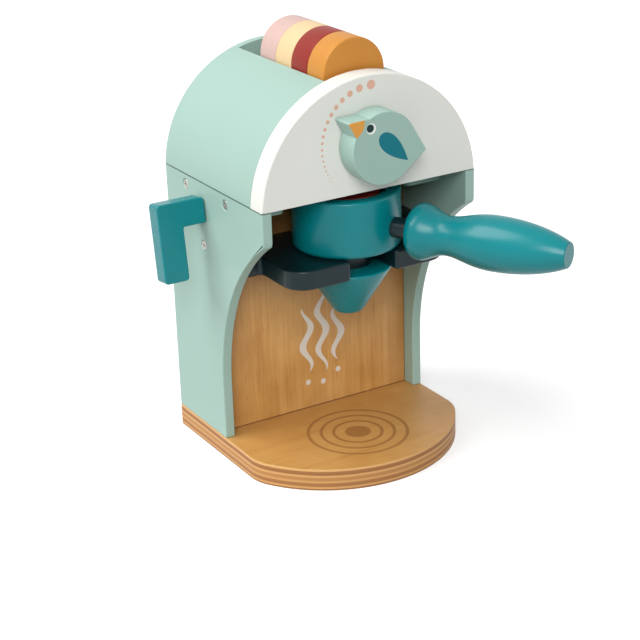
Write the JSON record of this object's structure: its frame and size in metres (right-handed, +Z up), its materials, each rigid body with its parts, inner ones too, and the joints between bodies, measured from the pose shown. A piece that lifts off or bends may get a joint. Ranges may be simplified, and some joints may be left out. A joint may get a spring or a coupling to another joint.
{
  "type": "toy coffee maker",
  "caption": "Wooden toy coffee maker with a slotted round hood for pods, a bird dial, a side lever and a pull-out turned portafilter on a fork above a cup bay.",
  "frame": {"origin": "middle of the base's underside, on the flat face that the toy stands on", "axes": "+X to the machine's right, -Y to its front, +Z up"},
  "size_m": [0.1847, 0.2285, 0.2723],
  "materials": {
    "mint_paint": "satin",
    "white_paint": "satin",
    "plywood": "clear satin lacquer",
    "hidden_wood": "bare",
    "navy_paint": "satin",
    "teal_paint": "satin",
    "pod_orange": "satin",
    "pod_red": "satin",
    "pod_cream": "satin",
    "pod_pink": "satin",
    "steel": "brushed"
  },
  "bodies": {
    "frame": {"base_plate": "plywood", "left_side_panel": "mint_paint", "right_side_panel": "mint_paint", "back_board": "plywood", "top_shelf": "mint_paint", "hood_roof_left": "mint_paint", "hood_roof_right": "mint_paint", "hood_rear_end": "mint_paint", "slot_wall_left": "mint_paint", "slot_wall_right": "mint_paint", "slot_floor": "mint_paint", "front_fascia": "white_paint", "fork_holder": "navy_paint", "side_screws": "steel", "base_screws": "steel", "fork_screws": "steel", "hood_screws": "steel", "fascia_dowels": "hidden_wood"},
    "spout_slide_body": {"portafilter_spout": "teal_paint"},
    "portafilter": {"portafilter_bowl": "teal_paint", "handle_dowel": "navy_paint", "portafilter_handle": "teal_paint"},
    "pod_in_bowl": {"pod_in_bowl": "pod_red"},
    "knob": {"bird_knob": "mint_paint", "knob_axle": "hidden_wood", "knob_washer": "steel", "knob_screw": "steel"},
    "lever": {"steam_lever": "teal_paint", "lever_pin": "steel"},
    "pod_1": {"pod_slot_1": "pod_orange"},
    "pod_2": {"pod_slot_2": "pod_red"},
    "pod_3": {"pod_slot_3": "pod_cream"},
    "pod_4": {"pod_slot_4": "pod_pink"}
  },
  "joints": [
    {"name": "portafilter_pull", "type": "slide", "parent": "frame", "child": "spout_slide_body", "axis": [0, -1, 0], "range_m": [0, 0.095]},
    {"name": "portafilter_swing", "type": "hinge", "parent": "spout_slide_body", "child": "portafilter", "pos_m": [0, -0.0199, 0.1415], "axis": [0, 0, 1], "range_deg": [-68.5, 11.5]},
    {"name": "bowl_pod_lift", "type": "slide", "parent": "portafilter", "child": "pod_in_bowl", "axis": [0, 0, 1], "range_m": [0, 0.0045]},
    {"name": "knob_turn", "type": "hinge", "parent": "frame", "child": "knob", "pos_m": [0, -0.0499, 0.213], "axis": [0, -1, 0], "continuous": true},
    {"name": "lever_swing", "type": "hinge", "parent": "frame", "child": "lever", "pos_m": [-0.075, 0.0277, 0.1655], "axis": [1, 0, 0], "continuous": true},
    {"name": "pod_1_lift", "type": "slide", "parent": "frame", "child": "pod_1", "axis": [0, 0, 1], "range_m": [0, 0.045]},
    {"name": "pod_2_lift", "type": "slide", "parent": "frame", "child": "pod_2", "axis": [0, 0, 1], "range_m": [0, 0.045]},
    {"name": "pod_3_lift", "type": "slide", "parent": "frame", "child": "pod_3", "axis": [0, 0, 1], "range_m": [0, 0.045]},
    {"name": "pod_4_lift", "type": "slide", "parent": "frame", "child": "pod_4", "axis": [0, 0, 1], "range_m": [0, 0.045]}
  ]
}
